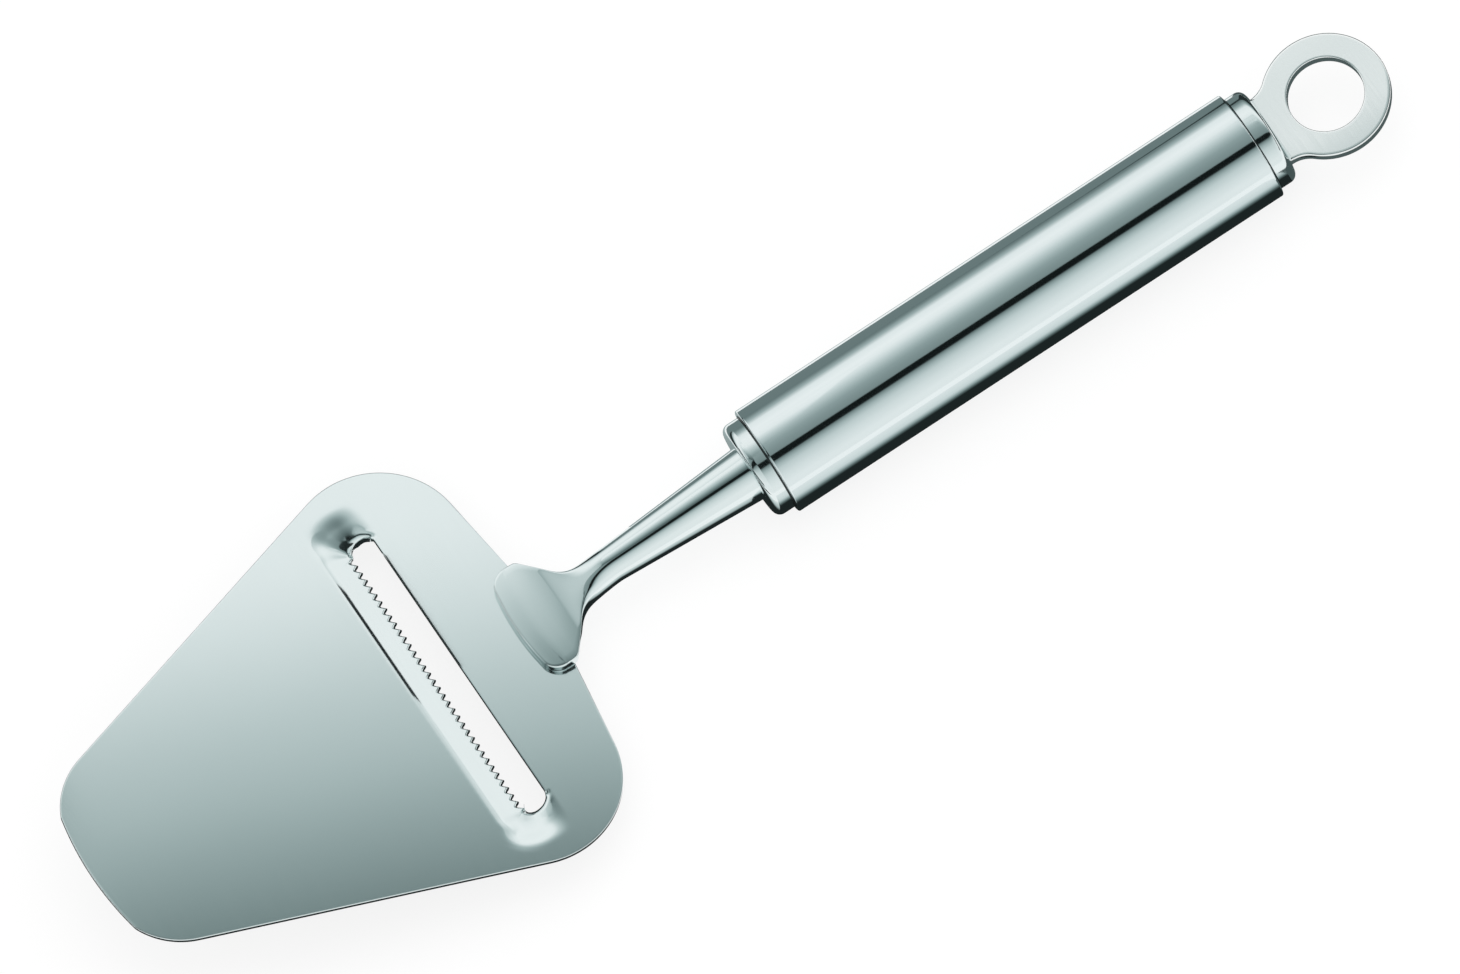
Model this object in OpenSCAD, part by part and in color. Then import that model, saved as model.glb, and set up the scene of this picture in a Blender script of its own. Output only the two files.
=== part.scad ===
// Cheese slicer: a slotted sheet blade on a forged shank, with a closed tube handle and a hanging eye.
// The handle lies along X with the blade in front (+X), and the tube rests on the plane Z = 0.

/* [Blade] */
// Length of the blade along its centre line
blade_len = 90.4; // [80:0.1:100]
// Half width at the rear corners, before they are rounded
blade_half_w = 45.2; // [42:0.1:48]
// Half width at the front corners, before they are rounded
blade_front_half_w = 17.5; // [15:0.1:20]
// Thickness of the blade sheet
blade_t = 1; // [0.8:0.1:1.2]
// Angle by which each rear edge is swept forward
rear_sweep = 7.6; // [5:0.1:9]
// Radius of the rear corners
rear_corner_r = 15.6; // [12:0.1:18]
// Radius of the front corners
front_corner_r = 13.6; // [10:0.1:16]
// Height of the bow of the front edge
front_bow = 3.6; // [2:0.1:5]
// Pitch of the blade plane to the handle
blade_pitch = 8.9; // [6:0.1:12]
// Height of the blade's top face at its rear edge, below the handle's centre line
blade_drop = 3.6; // [3:0.1:5]
// Distance from the handle tube to the rear edge of the blade
blade_reach = 44.2; // [40:0.1:50]

/* [Slicing slot] */
// Distance from the rear edge of the blade to the slot
slot_rear = 18; // [16:0.1:20]
// Width of the slot, up to the tips of the cutting edge
slot_w = 4.2; // [4.1:0.1:5]
// Length of the slot
slot_len = 60; // [54:0.5:64]
// Radius of the slot's corners
slot_corner_r = 1.9; // [1:0.1:2]
// Length of the cutting edge
edge_len = 55.6; // [50:0.1:58]
// Width of the pressed lip in front of the cutting edge
lip_w = 5.2; // [4:0.1:6]
// Drop of the cutting edge below the blade
lip_drop = 2.4; // [1.5:0.1:3]
// Number of scallops along the cutting edge
scallops = 35; // [20:1:40]
// Depth of a scallop
scallop_depth = 0.9; // [0.5:0.05:1]
// Width of the tip between two scallops
tip_w = 0.2; // [0.1:0.05:0.4]

/* [Shank] */
// Width of the foot that is welded to the blade
foot_w = 20.8; // [18:0.1:24]
// Thickness of the foot
foot_t = 2.3; // [2:0.1:3]
// Overlap of the foot on the blade, along the centre line
foot_lap = 6.8; // [5:0.1:8]
// Bow of the front edge of the foot
foot_bow = 1.2; // [0.5:0.1:2]
// Length of the foot's sides, from its front corner to its rear corner
foot_side = 4.4; // [3.5:0.1:6]
// Radius of the foot's corners
foot_corner_r = 2.6; // [1:0.1:3]
// Distance from the foot's rear corners to the knee where its sides turn into the neck
knee_run = 6.8; // [6:0.1:8]
// Radius of the hollow at the knee
knee_r = 8; // [5:0.1:9]
// Distance from the knee to the end of the neck
neck_run = 3.6; // [3.5:0.1:5]
// Width of the neck
neck_w = 6.2; // [6:0.1:7]
// Diameter of the rod at the handle
rod_d = 10; // [9:0.1:11]
// Diameter of the rod at its front end
rod_front_d = 6.6; // [6:0.1:7]
// Distance from the handle tube to the front end of the round rod
rod_reach = 31; // [29:0.1:33]
// Height of the rod's centre at its front end, below the handle's centre line
rod_drop = 0.4; // [0.2:0.1:1]
// Step by which the blended wedge stands proud of the rod's front end
blend_step = 0.1; // [0.05:0.05:0.2]
// Distance from the rear edge of the blade back to the end of the wedge that blends rod and foot
wedge_back = 3; // [2:0.1:4]
// Width of the wedge at that end
wedge_w = 10; // [8:0.1:11]
// Diameter of the tang inside the front cap
tang_d = 8; // [6:0.1:9]
// Length of the tang behind the face of the front cap
tang_len = 12; // [6:0.5:16]

/* [Handle] */
// Outer diameter of the handle tube
tube_d = 20; // [18:0.1:22]
// Length of the handle tube
tube_len = 97.6; // [80:0.1:110]
// Wall of the handle tube
tube_wall = 1.1; // [0.8:0.1:1.5]
// Bevel on the outer edge of the tube's ends
tube_bevel = 0.3; // [0.1:0.05:0.5]
// Length of each cap outside the tube
cap_out = 3.7; // [2:0.1:5]
// Length of each cap inside the tube
cap_in = 9; // [6:0.5:12]
// Wall of the caps
cap_wall = 1.2; // [0.8:0.1:1.5]
// Radius of the caps' outer edge
cap_edge_r = 1.5; // [0.5:0.1:2]
// Size of the weld seams between the caps and the tube
seam = 0.3; // [0.2:0.05:0.5]

/* [Hanging eye] */
// Diameter of the hanging hole
hole_d = 13.2; // [10:0.1:15]
// Outer diameter of the eye
eye_d = 22.2; // [20:0.1:26]
// Thickness of the eye
eye_t = 2.1; // [1.5:0.1:3]
// Distance from the face of the rear cap to the centre of the hole
eye_reach = 11.4; // [11.2:0.1:14]
// Width of the eye's neck at the cap
eye_neck_w = 13.4; // [12:0.1:13.6]
// Radius of the hollow on each side of the neck
eye_hollow_r = 5; // [4:0.1:5.2]
// Length of the eye's tang, from the shoulder on the face of the rear cap
eye_tang_len = 8; // [4:0.5:10]
// Width of the tang
eye_tang_w = 10.6; // [8:0.1:12]
// Thickness of the tang
eye_tang_t = 1.5; // [1:0.1:1.8]

/* [Welds] */
// Diameter of the spot-weld nuggets
nugget_d = 3; // [2:0.1:4]
// Depth of a nugget in the foot, and in the blade
nugget_depth = 0.4; // [0.2:0.1:0.5]
// Spacing of the nuggets
nugget_pitch = 5.5; // [5:0.1:6]
// Leg of the weld beads inside the caps
bead = 1.2; // [0.8:0.1:1.5]

/* [Hidden] */

// Share of a length by which a cut runs past the face that it opens
over_share = 0.1;
over = over_share * blade_t;
// Steps along a round corner, and along the bow of an edge
corner_steps = 14;
bow_steps = 10;
// Facets of the blended forging
blend_fn = 32;
round_fn = 96;

tube_r = tube_d / 2;
cap_r = tube_r - tube_wall;
bore_r = cap_r - cap_wall;
eye_r = eye_d / 2;
front_face = cap_out;
rear_face = -tube_len - cap_out;
eye_x = rear_face - eye_reach;

// The origin is under the middle of the whole slicer.
reach_front = blade_reach + blade_len * cos(blade_pitch) + blade_t * sin(blade_pitch);
reach_rear = eye_x - eye_r;
mid_x = (reach_front + reach_rear) / 2;

edge_u = slot_rear + slot_w;
lip_u = edge_u + lip_w;
scallop_pitch = edge_len / scallops;
scallop_half = (scallop_pitch - tip_w) / 2;
// Circle that cuts a scallop of the given depth and half width
scallop_r = (scallop_half * scallop_half + scallop_depth * scallop_depth) / (2 * scallop_depth);

foot_half = foot_w / 2;
foot_front_u = foot_lap - foot_bow;
foot_rear_u = foot_front_u - foot_side;
knee_u = foot_rear_u - knee_run;

// Direction from one point to another, as a unit vector
function toward(a, b) = (b - a) / norm(b - a);

// Arc of given radius that rounds the corner at b between a and c
function corner(a, b, c, r) =
    let (to_a = toward(b, a), to_c = toward(b, c),
         half = acos(to_a * to_c) / 2,
         middle = b + toward([0, 0], to_a + to_c) * r / sin(half),
         first = b + to_a * r / tan(half) - middle,
         last = b + to_c * r / tan(half) - middle,
         from = atan2(first[1], first[0]),
         turn = atan2(first[0] * last[1] - first[1] * last[0], first * last))
    [for (i = [0 : corner_steps]) middle + r * [cos(from + turn * i / corner_steps),
                                                sin(from + turn * i / corner_steps)]];

// Bowed edge from the point that stands half_w off the centre line, through the tip at tip_u
function bow_u(w, half_w, tip_u, bow) =
    let (r = (half_w * half_w + bow * bow) / (2 * bow)) tip_u - r + sqrt(r * r - w * w);
function bowed(from_w, half_w, tip_u, bow) =
    [for (i = [0 : bow_steps]) let (w = from_w * (1 - i / bow_steps)) [bow_u(w, half_w, tip_u, bow), w]];

// A half outline, and its mirror image in reverse order
function both_sides(half) = concat(half, [for (i = [len(half) - 1 : -1 : 0]) [half[i][0], -half[i][1]]]);

module at_handle() {
    translate([-mid_x, 0, tube_r]) children();
}

// Frame of the blade: its top face is Z = 0, and X runs forward from the middle of its rear edge.
module at_blade() {
    at_handle() translate([blade_reach, 0, -blade_drop]) rotate([0, -blade_pitch, 0]) children();
}

// Turned about the handle's centre line, from a profile of distance along the handle and radius
module turned(profile) {
    at_handle() rotate([90, 0, 90]) rotate_extrude($fn = round_fn)
        polygon([for (p = profile) [p[1], p[0]]]);
}

module blade_outline() {
    rear_tip = [0, 0];
    rear_corner = [blade_half_w * tan(rear_sweep), blade_half_w];
    front_corner = [blade_len - front_bow, blade_front_half_w];
    bow_r = (blade_front_half_w * blade_front_half_w + front_bow * front_bow) / (2 * front_bow);
    bow_mid = [blade_len - bow_r, 0];
    front_tangent = front_corner + [front_corner[1], -(front_corner[0] - bow_mid[0])];
    rounded_front = corner(rear_corner, front_corner, front_tangent, front_corner_r);
    last = rounded_front[corner_steps];
    polygon(both_sides(concat(
        [rear_tip],
        corner(rear_tip, rear_corner, front_corner, rear_corner_r),
        rounded_front,
        [for (i = [1 : bow_steps - 1]) let (w = last[1] * (1 - i / bow_steps))
            [last[0] + (blade_len - last[0]) * (1 - w * w / (last[1] * last[1])), w]])));
}

// Slot behind the cutting edge, and the hole that the pressed lip leaves in the flat sheet
module slot_outline() {
    corner_v = slot_len / 2 - slot_corner_r;
    translate([slot_rear, -corner_v]) square([slot_w, 2 * corner_v]);
    translate([slot_rear + slot_corner_r, -slot_len / 2]) square([slot_w - slot_corner_r, slot_len]);
    for (side = [-1, 1]) translate([slot_rear + slot_corner_r, side * corner_v])
        circle(slot_corner_r, $fn = round_fn);
    translate([edge_u, -edge_len / 2]) square([lip_w, edge_len]);
    for (side = [-1, 1]) translate([edge_u, side * edge_len / 2]) intersection() {
        circle(lip_w, $fn = round_fn);
        translate([0, -lip_w]) square([lip_w, 2 * lip_w]);
    }
}

// Section of the pressed lip: distance in front of the cutting edge, and height
function lip_section() = [[0, -lip_drop], [lip_w, 0], [lip_w, -blade_t], [0, -lip_drop - blade_t]];

module lip() {
    translate([edge_u, edge_len / 2, 0]) rotate([90, 0, 0]) linear_extrude(edge_len) polygon(lip_section());
    for (side = [-1, 1]) translate([edge_u, side * edge_len / 2, 0])
        rotate([0, 0, side > 0 ? 0 : -90]) rotate_extrude(angle = 90, $fn = round_fn) polygon(lip_section());
}

module blade() {
    color("lightgray") at_blade() difference() {
        union() {
            translate([0, 0, -blade_t]) linear_extrude(blade_t) difference() {
                blade_outline();
                slot_outline();
            }
            lip();
        }
        translate([0, 0, -lip_drop - 2 * blade_t]) linear_extrude(lip_drop + 2 * blade_t)
            for (i = [0 : scallops - 1])
                translate([edge_u + scallop_depth - scallop_r, (i - (scallops - 1) / 2) * scallop_pitch])
                    circle(scallop_r, $fn = round_fn);
        nuggets();
    }
}

module nuggets() {
    for (i = [-1 : 1]) translate([foot_lap / 2, i * nugget_pitch, -nugget_depth])
        cylinder(d = nugget_d, h = 2 * nugget_depth, $fn = round_fn);
}

module foot_welds() {
    color("dimgray") at_blade() nuggets();
}

module foot_outline() {
    front_corner = [foot_front_u, foot_half];
    rear_corner = [foot_rear_u, foot_half];
    knee = [knee_u, neck_w / 2];
    neck = [knee_u - neck_run, neck_w / 2];
    polygon(both_sides(concat(
        [neck],
        corner(neck, knee, rear_corner, knee_r),
        corner(knee, rear_corner, front_corner, foot_corner_r),
        corner(rear_corner, front_corner, [foot_lap, 0], foot_corner_r),
        [[foot_lap, 0]])));
}

// Tapered rod, square to the face of the front cap at its root
module rod() {
    descent = atan2(rod_drop, rod_reach - front_face);
    root = rod_d * sin(descent);
    difference() {
        translate([front_face, 0, 0]) rotate([0, 90 + descent, 0]) translate([0, 0, -root])
            cylinder(d1 = rod_d, d2 = rod_front_d, h = root + norm([rod_reach - front_face, rod_drop]),
                     $fn = round_fn);
        translate([front_face - rod_d, -rod_d, -rod_d]) cube([rod_d, 2 * rod_d, 2 * rod_d]);
    }
}

module shank() {
    color("silver") union() {
        at_blade() difference() {
            linear_extrude(foot_t) foot_outline();
            nuggets();
        }
        hull() {
            at_handle() translate([rod_reach, 0, -rod_drop]) sphere(d = rod_front_d + 2 * blend_step, $fn = blend_fn);
            at_blade() {
                translate([-wedge_back - foot_t / 2, -wedge_w / 2, blend_step / 2])
                    cube([foot_t / 2, wedge_w, foot_t - blend_step]);
                translate([knee_u - neck_run, -neck_w / 2, blend_step / 2])
                    cube([foot_t / 2, neck_w, foot_t - blend_step]);
            }
        }
        at_handle() {
            rod();
            translate([front_face - cap_wall - tang_len, 0, 0]) rotate([0, 90, 0])
                cylinder(d = tang_d, h = cap_wall + tang_len, $fn = round_fn);
        }
    }
}

// Rounded section of a cup whose closed end is at 0 and whose rim is at -depth
function cup_section(depth) = concat(
    [[-cap_wall, 0], [0, 0]],
    [for (i = [0 : corner_steps]) let (turn = 90 * i / corner_steps)
        [-cap_edge_r + cap_edge_r * cos(turn), cap_r - cap_edge_r + cap_edge_r * sin(turn)]],
    [[-depth, cap_r], [-depth, bore_r], [-cap_wall, bore_r]]);

module front_cap() {
    color("gainsboro") difference() {
        turned([for (p = cup_section(cap_out + cap_in)) [front_face + p[0], p[1]]]);
        at_handle() translate([front_face - cap_wall - over, 0, 0]) rotate([0, 90, 0])
            cylinder(d = tang_d, h = cap_wall + 2 * over, $fn = round_fn);
    }
}

module shank_weld() {
    back = front_face - cap_wall;
    color("dimgray") turned([[back, tang_d / 2], [back, tang_d / 2 + bead], [back - bead, tang_d / 2]]);
}

// Seam in the step at one end of the tube, on its outward side
module seam_ring(end, outward) {
    color("dimgray") turned([[end, cap_r], [end, cap_r + seam], [end + outward * seam, cap_r]]);
}

module front_seam() {
    seam_ring(0, 1);
}

module rear_seam() {
    seam_ring(-tube_len, -1);
}

module handle_tube() {
    color("lightsteelblue") turned([
        [0, cap_r], [0, tube_r - tube_bevel], [-tube_bevel, tube_r],
        [-tube_len + tube_bevel, tube_r], [-tube_len, tube_r - tube_bevel], [-tube_len, cap_r]]);
}

module rear_cap() {
    color("gainsboro") difference() {
        turned([for (p = cup_section(cap_out + cap_in)) [rear_face - p[0], p[1]]]);
        at_handle() translate([rear_face - over, -eye_tang_w / 2, -eye_tang_t / 2])
            cube([cap_wall + 2 * over, eye_tang_w, eye_tang_t]);
    }
}

// Half outline of the neck: straight at the cap, then a hollow that meets the round eye
function eye_half() =
    let (hollow_y = eye_neck_w / 2 + eye_hollow_r,
         apart = eye_r + eye_hollow_r,
         hollow_x = eye_x + sqrt(apart * apart - hollow_y * hollow_y),
         meet = atan2(hollow_y, hollow_x - eye_x))
    concat(
        [[rear_face, 0], [rear_face, eye_neck_w / 2]],
        [for (i = [0 : corner_steps]) let (turn = -90 - (90 - meet) * i / corner_steps)
            [hollow_x + eye_hollow_r * cos(turn), hollow_y + eye_hollow_r * sin(turn)]],
        [[eye_x, 0]]);

module hanging_eye() {
    color("silver") at_handle() difference() {
        union() {
            translate([0, 0, -eye_t / 2]) linear_extrude(eye_t) {
                polygon(both_sides(eye_half()));
                translate([eye_x, 0]) circle(eye_r, $fn = round_fn);
            }
            translate([rear_face - over, -eye_tang_w / 2, -eye_tang_t / 2])
                cube([eye_tang_len + over, eye_tang_w, eye_tang_t]);
        }
        translate([eye_x, 0, -eye_t / 2 - over]) cylinder(d = hole_d, h = eye_t + 2 * over, $fn = round_fn);
    }
}

module eye_welds() {
    back = rear_face + cap_wall;
    bead_len = eye_tang_w - 2 * bead;
    color("dimgray") at_handle() for (side = [0, 1]) mirror([0, 0, side])
        translate([back, bead_len / 2, eye_tang_t / 2]) rotate([90, 0, 0]) linear_extrude(bead_len)
            polygon([[0, 0], [bead, 0], [0, bead]]);
}

blade();
shank();
foot_welds();
front_cap();
shank_weld();
front_seam();
handle_tube();
rear_seam();
rear_cap();
hanging_eye();
eye_welds();
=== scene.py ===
import bmesh
import bpy
import math
from mathutils import Matrix, Vector


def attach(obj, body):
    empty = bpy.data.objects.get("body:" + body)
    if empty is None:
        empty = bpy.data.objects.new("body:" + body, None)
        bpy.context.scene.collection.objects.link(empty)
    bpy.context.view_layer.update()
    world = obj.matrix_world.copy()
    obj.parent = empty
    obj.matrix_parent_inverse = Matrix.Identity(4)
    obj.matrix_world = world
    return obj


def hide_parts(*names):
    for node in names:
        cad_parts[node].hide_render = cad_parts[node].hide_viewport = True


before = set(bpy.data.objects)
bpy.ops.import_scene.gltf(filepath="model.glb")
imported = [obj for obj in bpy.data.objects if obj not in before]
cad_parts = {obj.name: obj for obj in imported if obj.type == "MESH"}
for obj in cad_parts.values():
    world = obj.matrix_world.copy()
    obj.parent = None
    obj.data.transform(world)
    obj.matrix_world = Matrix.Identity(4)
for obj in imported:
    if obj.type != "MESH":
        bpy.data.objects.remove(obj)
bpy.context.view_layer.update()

# Metres in a millimetre, and the least distance between points and along an edge, in metres
MM = 0.001
SAME_PLACE = 1e-7
NO_LENGTH = 1e-8

# All sizes below are in millimetres. The handle's centre line is X, and the tube's front end is at 0 on it.
# R is a radius, T a thickness, W a width, and U a place forward from the blade's rear edge.

# Handle
MID_X = 4.93314
TUBE_R = 10.0
TUBE_LEN = 97.6
TUBE_WALL = 1.1
TUBE_EDGE_R = 0.3
CAP_OUT = 3.7
CAP_IN = 9.0
CAP_WALL = 1.2
CAP_EDGE_R = 1.5
CAP_R = TUBE_R - TUBE_WALL
BORE_R = CAP_R - CAP_WALL
FRONT_FACE = CAP_OUT
REAR_FACE = -TUBE_LEN - CAP_OUT
SEAM_R = 0.3

# Blade
BLADE_LEN = 90.4
BLADE_HALF_W = 45.2
FRONT_HALF_W = 17.5
BLADE_T = 1.0
BLADE_EDGE_R = 0.22
REAR_SWEEP = math.radians(7.6)
REAR_CORNER_R = 15.6
FRONT_CORNER_R = 13.6
FRONT_BOW = 3.6
PITCH = math.radians(8.9)
BLADE_DROP = 3.6
BLADE_REACH = 44.2

# Slot and cutting edge, with places forward from the blade's rear edge
SLOT_REAR = 18.0
SLOT_W = 4.2
SLOT_END = 28.9
SLOT_CORNER_R = 1.9
SLOT_NOSE_R = 1.55
SLOT_EDGE_R = 0.05
EDGE_U = SLOT_REAR + SLOT_W
EDGE_LEN = 54.6
SCALLOPS = 35
SCALLOP_DEPTH = 0.9
SCALLOP_ROUND_SHARE = 0.45
BEVEL_W = 0.45
BEVEL_DROP = 0.33
BEVEL_RUN_OUT = 0.8
# Width of the finely divided metal round the slot
APRON_W = 8.6

# Pressed lip in front of the cutting edge, and the dimples beside the slot's ends
LIP_END = 27.5
LIP_W = 5.2
LIP_DROP = 2.4
LIP_SOFT_SHARE = 0.13
# Rolled rim at the slot's ends, and the distances from the centre line where it starts and is full
RIM_R = 1.1
RIM_START = LIP_END - 0.2
RIM_FULL = SLOT_END - 0.5
# Places where a dimple starts, has its middle and is full, its growth sideways and its squeeze ahead
DIMPLE_REAR = 17.0
DIMPLE_BACK = 20.0
DIMPLE_FULL = 20.5
DIMPLE_SIDE = 2.4
DIMPLE_SQUEEZE = 1.3
# Distance from a dimple's middle, depth there and slope there
DIMPLE_CURVE = ((0.0, LIP_DROP, -0.37), (2.6, 1.43, -0.37), (5.0, 0.72, -0.24), (8.4, 0.0, 0.0))
# Shares of the turn from ahead to sideways, over which the squeeze ends and the lip becomes a dimple
SQUEEZE_SHARES = (0.2, 0.9)
BLEND_SHARES = (0.15, 0.85)

# Rod and tang
ROD_R = 5.0
ROD_FRONT_R = 3.3
ROD_REACH = 31.0
ROD_DROP = 0.4
ROD_TILT = math.atan2(ROD_DROP, ROD_REACH - FRONT_FACE)
TANG_R = 4.0
TANG_LEN = 12.0
TANG_EDGE_R = 0.3

# Foot
FOOT_T = 2.3
FOOT_FRONT_T = 1.5
FOOT_HALF_W = 10.4
FOOT_FRONT = 5.6
FOOT_BOW = 1.2
FOOT_CORNER_R = 2.6
FOOT_EDGE_R = 0.3
FOOT_CROWN = 0.054
FOOT_THIN_U = 0.5
SOLE_EDGE_R = 0.08

# Neck: place forward from the blade's rear edge, half width there and slope there
NECK_NARROW = (-9.0, 3.35, 0.06)
NECK_FLARE = (-3.0, 5.6, 1.3)
FLARE_SOFT = 0.55
# Places on the neck by which it has stopped leaning, rests on the blade, and has its flat or sharp form
UPRIGHT_U = -6.0
SOLE_U = -5.5
TOP_FLAT_U = -3.0
TOP_SHARP_U = -1.5
SIDE_FLAT_U = -1.0
SOLE_SHARP_U = -0.5
SQUARE_U = 1.0
BEND_U = 2.0
BOW_US = (-2.0, 3.0)

# Hanging eye
HOLE_R = 6.6
HOLE_EDGE_R = 0.3
EYE_R = 11.1
EYE_T = 2.1
EYE_EDGE_R = 0.4
EYE_X = REAR_FACE - 11.4
EYE_NECK = 6.7
EYE_HOLLOW_R = 5.0
EYE_TANG_LEN = 8.0
EYE_TANG_W = 10.6
EYE_TANG_T = 1.5

# Support rings lie this far beside a rounding, so that the flat next to it is shaded flat
BESIDE = 0.1

# Points round a quarter of the shank: on its top arc, its corner arc and its side arc
TOP_STEPS = 8
TURN_STEPS = 8
SIDE_STEPS = 4
# Degrees that the top and side arcs turn through, where the shank is round and where the foot is flat
ROUND_TURN = 45
FLAT_TOP_TURN = 0.6
FLAT_SIDE_TURN = 3.0


# Places and curves

def at_handle(x, y, z):
    """A point on the handle's own axes, in metres."""
    return Vector((x - MID_X, y, z + TUBE_R)) * MM


def at_blade(u, v, z):
    """A point on the blade's own axes: u forward from its rear edge, v across, z above its top face."""
    return at_handle(BLADE_REACH + u * math.cos(PITCH) - z * math.sin(PITCH), v,
                     u * math.sin(PITCH) + z * math.cos(PITCH) - BLADE_DROP)


def on_blade(x, z):
    """Turns a place on the handle's axes into the blade's own u and height."""
    dx, dz = x - BLADE_REACH, z + BLADE_DROP
    return (dx * math.cos(PITCH) + dz * math.sin(PITCH), -dx * math.sin(PITCH) + dz * math.cos(PITCH))


ROD_END_U, ROD_END_Z = on_blade(ROD_REACH, -ROD_DROP)


def smooth(low, high, value):
    """Eases from 0 at low to 1 at high."""
    share = min(max((value - low) / (high - low), 0.0), 1.0)
    return share * share * (3.0 - 2.0 * share)


def mixed(a, b, share):
    """The value at a share of the way from a to b."""
    return a + (b - a) * share


def eased(start, end, value):
    """A curve from start to end, each a place, a height and a slope."""
    span = end[0] - start[0]
    t = min(max((value - start[0]) / span, 0.0), 1.0)
    return ((2 * t ** 3 - 3 * t ** 2 + 1) * start[1] + (t ** 3 - 2 * t ** 2 + t) * span * start[2]
            + (3 * t ** 2 - 2 * t ** 3) * end[1] + (t ** 3 - t ** 2) * span * end[2])


def rounded_corner(before, corner, after, radius):
    """Points on the arc that rounds a corner between two straight lines."""
    steps = 96
    b, c, a = Vector(before), Vector(corner), Vector(after)
    to_b, to_a = (b - c).normalized(), (a - c).normalized()
    half = to_b.angle(to_a) / 2
    middle = c + (to_b + to_a).normalized() * radius / math.sin(half)
    first = c + to_b * radius / math.tan(half) - middle
    last = c + to_a * radius / math.tan(half) - middle
    turn = first.angle_signed(last)
    return [middle + Matrix.Rotation(-turn * i / steps, 2) @ first for i in range(steps + 1)]


def spaced(points, count):
    """The same line in an even spacing: count points and its last one."""
    lengths = [(b - a).length for a, b in zip(points, points[1:])]
    total = sum(lengths)
    made, walked, k = [], 0.0, 0
    for i in range(count):
        goal = total * i / count
        while k < len(lengths) - 1 and walked + lengths[k] < goal:
            walked += lengths[k]
            k += 1
        share = (goal - walked) / lengths[k] if lengths[k] else 0.0
        made.append(points[k].lerp(points[k + 1], share))
    return made + [points[-1]]


def mirrored(points):
    """The same line on the other side of the centre line, run through backwards."""
    return [Vector((p[0], -p[1])) for p in reversed(points)]


def round_edge(radius, start, end, steps):
    """Steps round an edge, each as a distance inwards and a height, from angle start to end in degrees."""
    angles = [math.radians(mixed(start, end, i / steps)) for i in range(steps + 1)]
    return [(radius * (1 - math.cos(a)), radius * math.sin(a)) for a in angles]


# Making pieces

def finished(name, bm, material, nodes, sharp=35.0):
    """Turns a bmesh into a piece that stands for its CAD nodes, smooth where it bends by less than sharp."""
    bmesh.ops.remove_doubles(bm, verts=bm.verts, dist=SAME_PLACE)
    bmesh.ops.dissolve_degenerate(bm, edges=bm.edges, dist=NO_LENGTH)
    bmesh.ops.recalc_face_normals(bm, faces=bm.faces)
    for face in bm.faces:
        face.smooth = True
    mesh = bpy.data.meshes.new(name)
    bm.to_mesh(mesh)
    bm.free()
    mesh.set_sharp_from_angle(angle=math.radians(sharp))
    piece = bpy.data.objects.new(name, mesh)
    bpy.context.scene.collection.objects.link(piece)
    mesh.materials.append(material)
    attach(piece, "root")
    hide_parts(*nodes)


def woven(around, along, place):
    """A grid bent into a tube or a ring: place gives each point from its number around and along."""
    bm = bmesh.new()
    bmesh.ops.create_grid(bm, x_segments=around, y_segments=along, size=1.0)
    for vert in bm.verts:
        i = round((vert.co.x + 1) / 2 * around) % around
        j = round((vert.co.y + 1) / 2 * along)
        vert.co = place(i, j)
    bmesh.ops.remove_doubles(bm, verts=bm.verts, dist=SAME_PLACE)
    return bm


def turned(profile):
    """A closed profile of distances along the handle and radii, spun about the handle's centre line."""
    bm = bmesh.new()
    verts = [bm.verts.new(at_handle(x, 0, r)) for x, r in profile]
    edges = [bm.edges.new(pair) for pair in zip(verts, verts[1:])]
    edges.append(bm.edges.new((verts[-1], verts[0])))
    bmesh.ops.spin(bm, geom=verts + edges, cent=at_handle(0, 0, 0), axis=(1, 0, 0),
                   angle=math.tau, steps=192, use_merge=True)
    return bm


# Steel

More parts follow.
